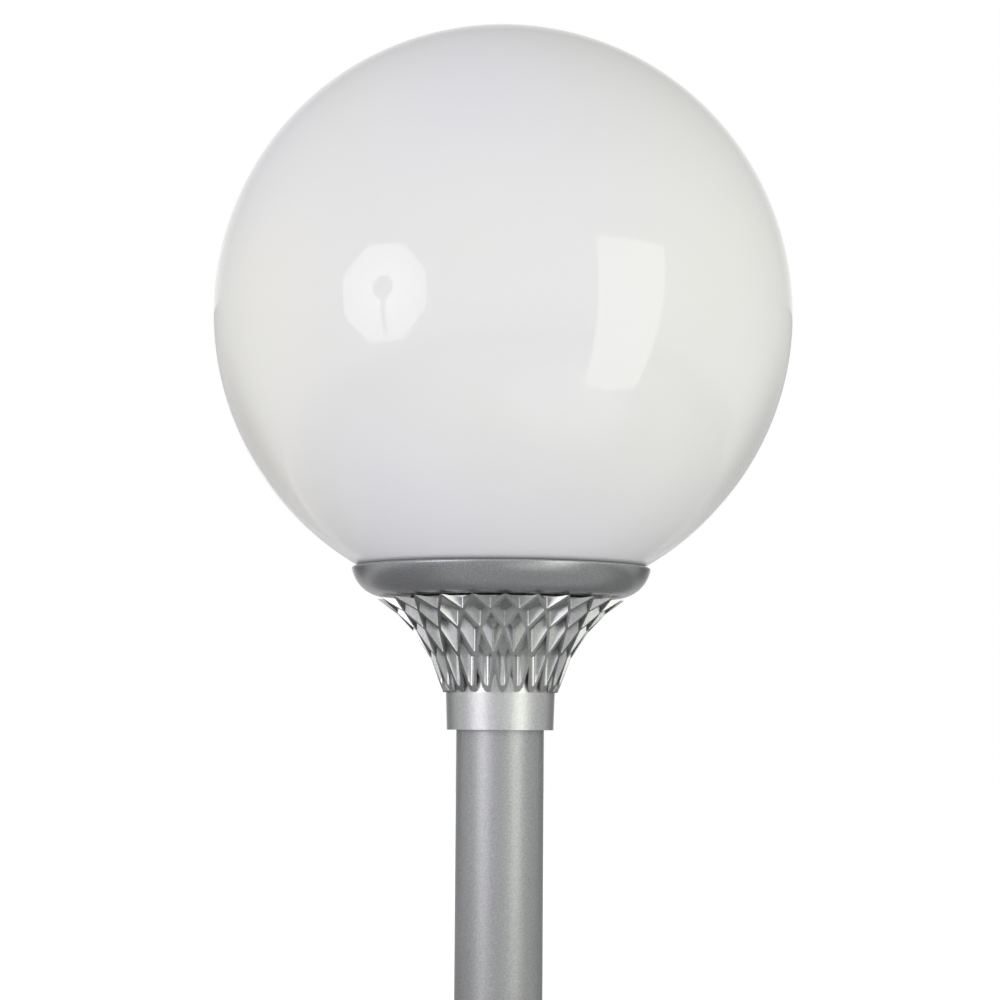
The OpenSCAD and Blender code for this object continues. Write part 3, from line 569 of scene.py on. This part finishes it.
class LAMP_OT_casting(bpy.types.Operator):
    """Gives the leaf casting its bright cast and turned aluminium"""

    bl_idname = "lamp.casting"
    bl_label = "Leaf casting"

    def execute(self, context):
        turned_h = 25 * MM
        dress(["leaf_casting"], cast_aluminium("#c9caca", "#dedfdf", CAST_LOW.z + turned_h))
        return {"FINISHED"}


class LAMP_OT_pole(bpy.types.Operator):
    """Makes the painted pole end, with its edges broken"""

    bl_idname = "lamp.pole"
    bl_label = "Pole"

    def execute(self, context):
        wall, edge = 3 * MM, 0.4 * MM
        outer = POLE_HIGH.x
        inner = outer - wall
        low, high = POLE_LOW.z, POLE_HIGH.z
        bm = bmesh.new()
        ring_of(bm, [
            (inner + edge, low), (outer - edge, low), (outer, low + edge), (outer, high - edge),
            (outer - edge, high), (inner + edge, high), (inner, high - edge), (inner, low + edge),
        ], segments=128)
        make_piece("painted_pole", bm, pole_paint("#a3a4a5", "#bebfc0"), ["pole"])
        return {"FINISHED"}


class LAMP_OT_fittings(bpy.types.Operator):
    """Gives the inner pieces their metals, rubber, porcelain and plastics"""

    bl_idname = "lamp.fittings"
    bl_label = "Fittings"

    def execute(self, context):
        dress(["dish_bolts", "bolt_washers", "ring_screws", "tray_pillars", "tray_screws", "bracket_screws",
               "holder_nipple", "nipple_nut", "terminal_screws", "clamp_screws"],
              plated_steel("steel_zinc_plated", "#b4b7ba", "#cfd2d4", 0.3))
        dress(["grub_screws"], plated_steel("steel_blackened", "#2b2b2d", "#3c3c3e", 0.42))
        dress(["gear_tray", "holder_bracket", "cable_clamp"],
              plated_steel("sheet_steel_zinc_plated", "#a3a7ab", "#c2c6c9", 0.36))
        dress(["bayonet_ring"], plated_steel("aluminium_turned", "#bfc0c2", "#d3d4d6", 0.32))
        dress(["holder_shell", "holder_contact", "earth_stud", "earth_nuts"],
              plated_steel("brass_turned", "#b9954e", "#d2b06a", 0.28))
        dress(["dish_gasket", "globe_seal"], dull_skin("epdm_rubber_cut", "#1c1c1d", "#29292a", 0.6, 2 * MM))
        dress(["holder_body"], dull_skin("porcelain_glazed", "#eeebe2", "#f4f2ea", 0.16, 8 * MM, 1.5, 0.6))
        dress(["terminal_block"], dull_skin("polyamide_moulded", "#ddd8c8", "#e6e2d4", 0.42, 1.5 * MM))
        dress(["bulb"], dull_skin("glass_frosted_white", "#efefec", "#f5f5f3", 0.3, 20 * MM, 1.52))
        dress(["live_lead"], dull_skin("pvc_sheath_brown", "#4a2a17", "#59351e", 0.36, 2 * MM))
        dress(["neutral_lead"], dull_skin("pvc_sheath_blue", "#24509c", "#2e5dae", 0.36, 2 * MM))
        dress(["earth_lead"], striped_sheath())
        return {"FINISHED"}


class LAMP_PT_panel(bpy.types.Panel):
    """Lists the lamp's pieces in the sidebar"""

    bl_idname = "LAMP_PT_panel"
    bl_label = "Globe Street Lamp"
    bl_space_type = "VIEW_3D"
    bl_region_type = "UI"
    bl_category = "Lamp"

    def draw(self, context):
        for settings in (context.scene.lamp_globe, context.scene.lamp_stage):
            for name in settings.__annotations__:
                self.layout.prop(settings, name)
        for operator in PIECES:
            self.layout.operator(operator.bl_idname)


PIECES = (LAMP_OT_camera, LAMP_OT_stage, LAMP_OT_globe, LAMP_OT_dish, LAMP_OT_casting, LAMP_OT_pole,
          LAMP_OT_fittings)
CLASSES = (GlobeSettings, StageSettings) + PIECES + (LAMP_PT_panel,)


def register():
    for cls in CLASSES:
        bpy.utils.register_class(cls)
    bpy.types.Scene.lamp_globe = PointerProperty(type=GlobeSettings)
    bpy.types.Scene.lamp_stage = PointerProperty(type=StageSettings)


def unregister():
    del bpy.types.Scene.lamp_stage
    del bpy.types.Scene.lamp_globe
    for cls in reversed(CLASSES):
        bpy.utils.unregister_class(cls)


def main():
    register()
    bpy.ops.lamp.camera()
    bpy.ops.lamp.stage()
    bpy.ops.lamp.globe()
    bpy.ops.lamp.dish()
    bpy.ops.lamp.casting()
    bpy.ops.lamp.pole()
    bpy.ops.lamp.fittings()


if __name__ == "__main__":
    main()
